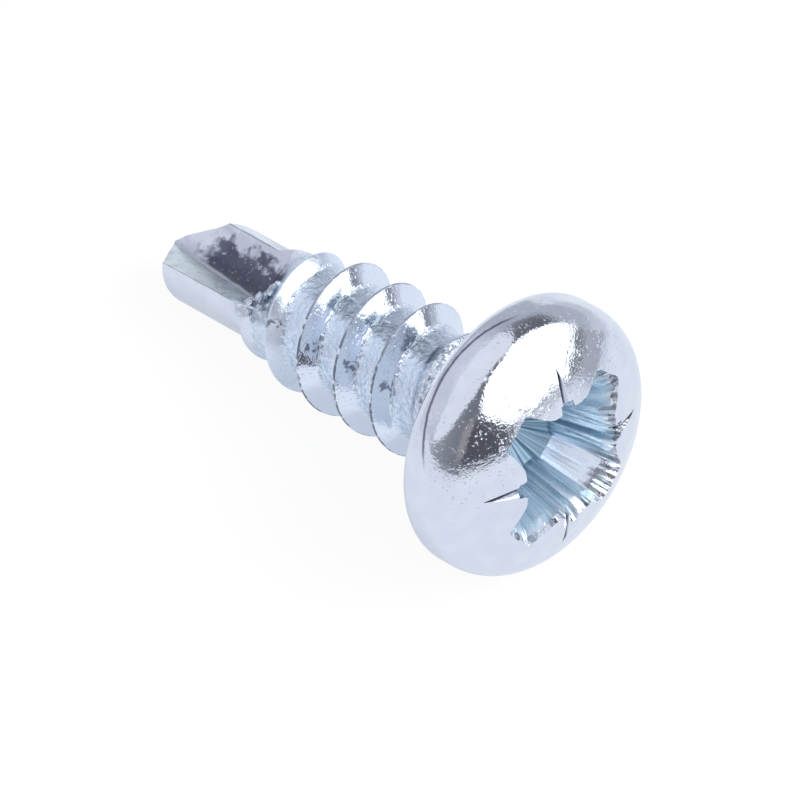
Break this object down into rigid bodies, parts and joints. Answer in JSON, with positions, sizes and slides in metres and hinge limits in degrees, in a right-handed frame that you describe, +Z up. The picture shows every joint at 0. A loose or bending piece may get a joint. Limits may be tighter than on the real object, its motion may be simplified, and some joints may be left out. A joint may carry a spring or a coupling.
{
  "type": "self drilling screw",
  "caption": "Zinc-plated steel screw with a domed pan head, cross recess, coarse tapping thread and a fluted drill point that cuts its own pilot hole.",
  "frame": {"origin": "centre of the bounding box at the floor, with the screw lying as it comes to rest on the rounded edge of its head and on the edges of its drill point", "axes": "+Z up, +X from the head towards the drill point, whose axis dips 13.7 degrees below +X"},
  "size_m": [0.015, 0.0078, 0.0078],
  "materials": {
    "zinc_plate": "bright zinc plating with a slight blue tint over hardened steel"
  },
  "bodies": {
    "root": {"screw": "zinc_plate"}
  },
  "joints": []
}
